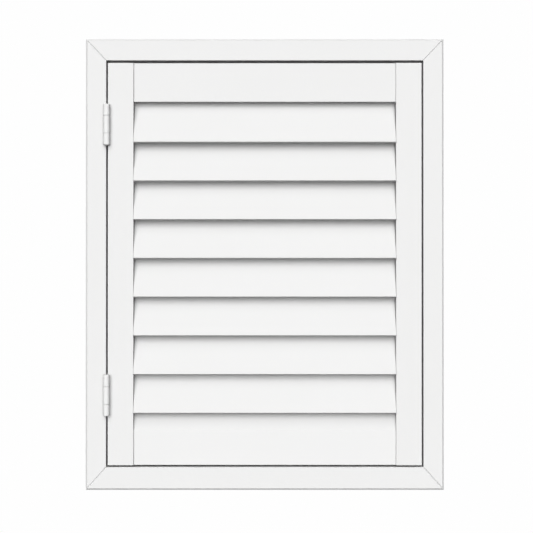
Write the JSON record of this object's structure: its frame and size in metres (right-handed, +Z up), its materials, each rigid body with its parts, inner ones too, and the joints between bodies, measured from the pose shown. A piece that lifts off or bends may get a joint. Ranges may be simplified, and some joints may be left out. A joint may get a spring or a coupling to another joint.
{
  "type": "louvred shutter",
  "caption": "White louvred shutter: a hinged panel of tilting slats, linked by a rear tilt bar and hung on butt hinges in a mitred wall frame.",
  "frame": {"origin": "middle of the four wall screws, on the plane where the frame meets the wall", "axes": "+Z up, +X to the right seen from the front, +Y into the wall"},
  "size_m": [0.651, 0.0544, 0.82],
  "materials": {
    "painted_timber": "sprayed satin white paint",
    "painted_slat": "sprayed satin white paint",
    "painted_hinge": "satin white enamel",
    "bright_steel": "zinc plated",
    "magnet_plate": "nickel plated magnet",
    "moulded_nylon": "moulded white nylon",
    "bare_timber": "bare beech",
    "tilt_alloy": "white coated strip"
  },
  "bodies": {
    "frame": {"frame_head": "painted_timber", "frame_sill": "painted_timber", "hinge_jamb": "painted_timber", "closing_jamb": "painted_timber", "corner_keys": "moulded_nylon", "upper_hinge_frame_leaf": "painted_hinge", "upper_hinge_pin": "bright_steel", "lower_hinge_frame_leaf": "painted_hinge", "lower_hinge_pin": "bright_steel", "frame_hinge_screws": "bright_steel", "catch_magnets": "magnet_plate"},
    "panel": {"hinge_stile": "painted_timber", "closing_stile": "painted_timber", "top_rail": "painted_timber", "bottom_rail": "painted_timber", "rail_dowels": "bare_timber", "upper_hinge_panel_leaf": "painted_hinge", "lower_hinge_panel_leaf": "painted_hinge", "panel_hinge_screws": "bright_steel", "strike_plates": "bright_steel", "strike_screws": "bright_steel"},
    "louvre_1": {"louvre_1": "painted_slat", "louvre_pins_1": "moulded_nylon", "tilt_clip_1": "moulded_nylon"},
    "louvre_2": {"louvre_2": "painted_slat", "louvre_pins_2": "moulded_nylon", "tilt_clip_2": "moulded_nylon"},
    "louvre_3": {"louvre_3": "painted_slat", "louvre_pins_3": "moulded_nylon", "tilt_clip_3": "moulded_nylon"},
    "louvre_4": {"louvre_4": "painted_slat", "louvre_pins_4": "moulded_nylon", "tilt_clip_4": "moulded_nylon"},
    "louvre_5": {"louvre_5": "painted_slat", "louvre_pins_5": "moulded_nylon", "tilt_clip_5": "moulded_nylon"},
    "louvre_6": {"louvre_6": "painted_slat", "louvre_pins_6": "moulded_nylon", "tilt_clip_6": "moulded_nylon"},
    "louvre_7": {"louvre_7": "painted_slat", "louvre_pins_7": "moulded_nylon", "tilt_clip_7": "moulded_nylon"},
    "louvre_8": {"louvre_8": "painted_slat", "louvre_pins_8": "moulded_nylon", "tilt_clip_8": "moulded_nylon"},
    "tilt_bar": {"tilt_bar": "tilt_alloy", "tilt_rivets": "bright_steel"}
  },
  "joints": [
    {"name": "panel_swing", "type": "hinge", "parent": "frame", "child": "panel", "pos_m": [-0.2868, -0.0484, 0], "axis": [0, 0, -1], "range_deg": [0, 175]},
    {"name": "louvre_1_tilt", "type": "hinge", "parent": "panel", "child": "louvre_1", "pos_m": [0, -0.03, 0.26052], "axis": [-1, 0, 0], "range_deg": [-8, 80]},
    {"name": "louvre_2_tilt", "type": "hinge", "parent": "panel", "child": "louvre_2", "pos_m": [0, -0.03, 0.19031], "axis": [-1, 0, 0], "range_deg": [-8, 80]},
    {"name": "louvre_3_tilt", "type": "hinge", "parent": "panel", "child": "louvre_3", "pos_m": [0, -0.03, 0.12011], "axis": [-1, 0, 0], "range_deg": [-8, 80]},
    {"name": "louvre_4_tilt", "type": "hinge", "parent": "panel", "child": "louvre_4", "pos_m": [0, -0.03, 0.0499], "axis": [-1, 0, 0], "range_deg": [-8, 80]},
    {"name": "louvre_5_tilt", "type": "hinge", "parent": "panel", "child": "louvre_5", "pos_m": [0, -0.03, -0.0203], "axis": [-1, 0, 0], "range_deg": [-8, 80]},
    {"name": "louvre_6_tilt", "type": "hinge", "parent": "panel", "child": "louvre_6", "pos_m": [0, -0.03, -0.09051], "axis": [-1, 0, 0], "range_deg": [-8, 80]},
    {"name": "louvre_7_tilt", "type": "hinge", "parent": "panel", "child": "louvre_7", "pos_m": [0, -0.03, -0.16071], "axis": [-1, 0, 0], "range_deg": [-8, 80]},
    {"name": "louvre_8_tilt", "type": "hinge", "parent": "panel", "child": "louvre_8", "pos_m": [0, -0.03, -0.23092], "axis": [-1, 0, 0], "range_deg": [-8, 80]},
    {"name": "tilt_bar_link", "type": "hinge", "parent": "louvre_1", "child": "tilt_bar", "pos_m": [0.1856, -0.00713, 0.30434], "axis": [-1, 0, 0], "range_deg": [-80, 8]}
  ],
  "couplings": [
    {"joint": "louvre_2_tilt", "follows": "louvre_1_tilt", "ratio": 1},
    {"joint": "louvre_3_tilt", "follows": "louvre_1_tilt", "ratio": 1},
    {"joint": "louvre_4_tilt", "follows": "louvre_1_tilt", "ratio": 1},
    {"joint": "louvre_5_tilt", "follows": "louvre_1_tilt", "ratio": 1},
    {"joint": "louvre_6_tilt", "follows": "louvre_1_tilt", "ratio": 1},
    {"joint": "louvre_7_tilt", "follows": "louvre_1_tilt", "ratio": 1},
    {"joint": "louvre_8_tilt", "follows": "louvre_1_tilt", "ratio": 1},
    {"joint": "tilt_bar_link", "follows": "louvre_1_tilt", "ratio": -1}
  ]
}
